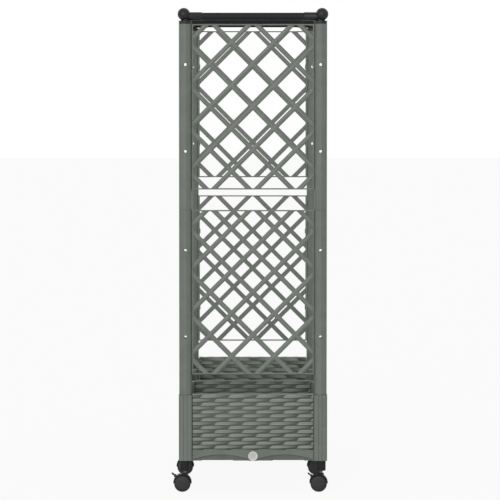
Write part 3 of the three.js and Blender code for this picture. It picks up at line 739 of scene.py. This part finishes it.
def wheelPairShape():
    # one profile for both wheels and their axle: cap, groove, tread and inner face, then the hub
    r, o, i = caster["radius"], caster["outer"], caster["inner"]
    half = [(6, -o + 0.4), (20.2, -o), (20.8, -o + 0.2), (21.2, -o + 1.2), (21.9, -o + 1.2),
            (22.3, -o + 0.5), (r - 0.6, -o + 0.7), (r - 0.1, -o + 1.4), (r, -o + 2.2),
            (r, -i - 1.2), (r - 0.5, -i - 0.3), (r - 1.2, -i)]
    whole = half + [(3, -i), (3, i)] + [(a, -b) for a, b in reversed(half)]
    return addTurned(newShape(), whole, 56, "Y", (-caster["trail"], 0, r))


def housingShape(braked):
    # hood and web between the wheels; collar and steel stem are pieces of their own
    shape = newShape()
    cx, cz = -caster["trail"], caster["radius"]
    inner, wide, b = caster["hood"] - caster["hoodWall"], caster["halfWidth"], caster["hoodBevel"]
    rings = []
    for step in range(caster["hoodSteps"] + 1):
        angle = step / caster["hoodSteps"] * math.pi
        outer = caster["hood"] - caster["hoodTaper"] * (1 - math.sin(angle))
        c, s = math.cos(angle), math.sin(angle)
        section = [(inner, -wide + b), (inner + b, -wide), (outer - b, -wide),
                   (outer, -wide + b * 1.6), (outer, wide - b * 1.6), (outer - b, wide),
                   (inner + b, wide), (inner, wide - b)]
        rings.append([(cx + r * c, y, cz + r * s) for r, y in section])
    addRings(shape, rings)
    # the web's outline: round the axle below, up under the hood above
    web = [(caster["webInner"], 200 + 14 * i) for i in range(11)]
    web += [(caster["webOuter"], 3 + 174 * i / 16) for i in range(17)]
    outline = [(cx + r * math.cos(math.radians(a)), cz + r * math.sin(math.radians(a)))
               for r, a in web]
    addPlate(shape, outline[::-1], "Y", -caster["webHalf"], caster["webHalf"], 0.4)
    addTurned(shape, [(8.5, 49.5), (8.5, 53.5), (7.6, 54.4)], 28)  # the boss round the stem
    if braked:
        px, pz = cx + caster["leverPivot"][0], cz + caster["leverPivot"][1]
        for side in (-1, 1):  # cheeks that hold the lever's pin
            at = side * (caster["leverHalf"] + 1.8)
            addBlock(shape, (px - 2.4, at - 1.1, pz - 3.6), (px + 4, at + 1.1, pz + 2.4), 0.5)
    return shape


def leverShape():
    # a bent plate from its pivot, p, out to its tip, t
    cx, cz = -caster["trail"], caster["radius"]
    px, pz = cx + caster["leverPivot"][0], cz + caster["leverPivot"][1]
    tx, tz = cx + caster["leverTip"][0], cz + caster["leverTip"][1]
    loop = [(px + 1.4, pz - 2), (px + 2, pz + 0.4), (px + 0.4, pz + 2), (tx + 0.9, tz + 1.6),
            (tx - 0.9, tz + 1.3), (tx - 1.4, tz - 0.2), (tx - 0.6, tz - 1.8)]
    half, pin = caster["leverHalf"], caster["leverPin"]
    shape = addPlate(newShape(), loop, "Y", -half, half, 0.6)
    return addTurned(shape, [(pin, -half - 3), (pin, half + 3)], 16, "Y", (px, 0, pz))


stemProfile = [(caster["stem"], caster["stemFoot"]), (caster["stem"], caster["stemTop"] - 1),
               (caster["stem"] - 0.9, caster["stemTop"])]
collarProfile = [(caster["collar"] - inset, up) for inset, up in (
    (2.5, caster["collarFoot"]), (0.6, caster["collarFoot"] + 0.5), (0, caster["collarFoot"] + 1.6),
    (0, caster["collarTop"] - 0.8), (0.6, caster["collarTop"]))]
upright = (("stem", stemProfile, "steel", None), ("collar", collarProfile, "collar", "black_resin"))
wheelPair, lever = wheelPairShape(), leverShape()
for row in range(4):
    y = -endLine + row * modulePitch
    turn = 0 if y < 0 else 180
    braked = row in (0, 3)
    housing = housingShape(braked)
    if braked:
        y += math.copysign(caster["out"], y)
    for side, (x, _) in sides.items():
        name = f"{side}_caster_{row + 1}"
        spot = {"at": (x + math.copysign(caster["out"], x), y, 0), "turn": turn}
        makePiece(f"{name}_hood", housing, "black", "black_resin", f"{name}_housing",
                  body=f"{name}_swivel", **spot)
        for part, profile, finish, slotName in upright:
            makePiece(f"{name}_{part}", addTurned(newShape(), profile, 40), finish, slotName,
                      f"{name}_housing", body=f"{name}_swivel", **spot)
        makePiece(f"{name}_twin_wheels", wheelPair, "wheel", "wheel_resin", f"{name}_wheels",
                  body=f"{name}_axle", **spot)
        if braked:
            makePiece(f"{name}_pedal_plate", lever, "black", "black_resin", f"{name}_brake_lever",
                      body=f"{name}_pedal", **spot)
print("plugs and casters made")

# floor, light and camera; the key is a wide soft lamp, low and a little to the left
studio = {"floorSize": 80, "floorPaint": "#e9e9e9", "floorWhite": 0.93, "ambient": 0.4,
          "keyStrength": 1.34, "keyAngle": 36, "keyLeft": 14, "keyUp": 8}


def seenDirectly(tree):
    # 1 for rays from the camera or mirrored off the object, where the white backdrop shows
    path = addNode(tree, "ShaderNodeLightPath")
    first = addNode(tree, "ShaderNodeMath", {
        0: path.outputs["Is Camera Ray"], 1: path.outputs["Is Glossy Ray"]}, operation="MAXIMUM")
    both = addNode(tree, "ShaderNodeMath", {
        0: first.outputs[0], 1: path.outputs["Is Transmission Ray"]}, operation="MAXIMUM")
    return both.outputs[0]


def makeFloor():
    # white backdrop and paint mixed, so that the floor keeps the object's shadow
    half = studio["floorSize"] / 2
    square = [(-half, -half, 0), (half, -half, 0), (half, half, 0), (-half, half, 0)]
    mesh = bpy.data.meshes.new("studioFloor")
    mesh.from_pydata(square, [], [(0, 1, 2, 3)])
    floor = bpy.data.objects.new("studioFloor", mesh)
    bpy.context.scene.collection.objects.link(floor)
    material, tree = newMaterial("paintedFloor")
    paint = addNode(tree, "ShaderNodeBsdfDiffuse", {"Color": linear(studio["floorPaint"])})
    glow = addNode(tree, "ShaderNodeEmission", {"Color": linear("#ffffff"), "Strength": 1.0})
    share = addNode(tree, "ShaderNodeMath", {
        0: seenDirectly(tree), 1: studio["floorWhite"]}, operation="MULTIPLY")
    mixed = addNode(tree, "ShaderNodeMixShader", {
        "Fac": share.outputs[0], 1: paint.outputs["BSDF"], 2: glow.outputs["Emission"]})
    addNode(tree, "ShaderNodeOutputMaterial", {"Surface": mixed.outputs["Shader"]})
    mesh.materials.append(material)


def makeWorld():
    # a dim even light, white only where it is seen
    world = bpy.data.worlds.new("studioWorld")
    bpy.context.scene.world = world
    world.use_nodes = True
    tree = world.node_tree
    tree.nodes.clear()
    soft = addNode(tree, "ShaderNodeBackground", {
        "Color": linear("#ffffff"), "Strength": studio["ambient"]})
    white = addNode(tree, "ShaderNodeBackground", {"Color": linear("#ffffff"), "Strength": 1.0})
    mixed = addNode(tree, "ShaderNodeMixShader", {
        "Fac": seenDirectly(tree), 1: soft.outputs["Background"], 2: white.outputs["Background"]})
    addNode(tree, "ShaderNodeOutputWorld", {"Surface": mixed.outputs["Shader"]})


def makeKey():
    lamp = bpy.data.lights.new("softKey", "SUN")
    lamp.energy = studio["keyStrength"]
    lamp.angle = math.radians(studio["keyAngle"])
    key = bpy.data.objects.new("softKey", lamp)
    bpy.context.scene.collection.objects.link(key)
    left, up = math.radians(studio["keyLeft"]), math.radians(studio["keyUp"])
    towards = Vector((-math.sin(left) * math.cos(up), -math.cos(left) * math.cos(up), math.sin(up)))
    key.rotation_mode = "QUATERNION"
    key.rotation_quaternion = towards.to_track_quat("Z", "Y")


# camera at the photo's angle: place in metres, degrees it looks down, lens on its sensor in mm
view = {"at": (-0.0087, -9.56, 1.1965), "tilt": 3.0968, "lens": 220.36, "sensor": 36, "far": 200}
lens = bpy.data.cameras.new("photoCamera")
lens.lens = view["lens"]
lens.sensor_width = view["sensor"]
lens.clip_end = view["far"]
camera = bpy.data.objects.new("photoCamera", lens)
bpy.context.scene.collection.objects.link(camera)
camera.location = view["at"]
camera.rotation_euler = (math.radians(90 - view["tilt"]), 0, 0)
bpy.context.scene.camera = camera
makeFloor()
makeWorld()
makeKey()
bpy.context.scene.view_settings.view_transform = "Standard"
print("studio made")
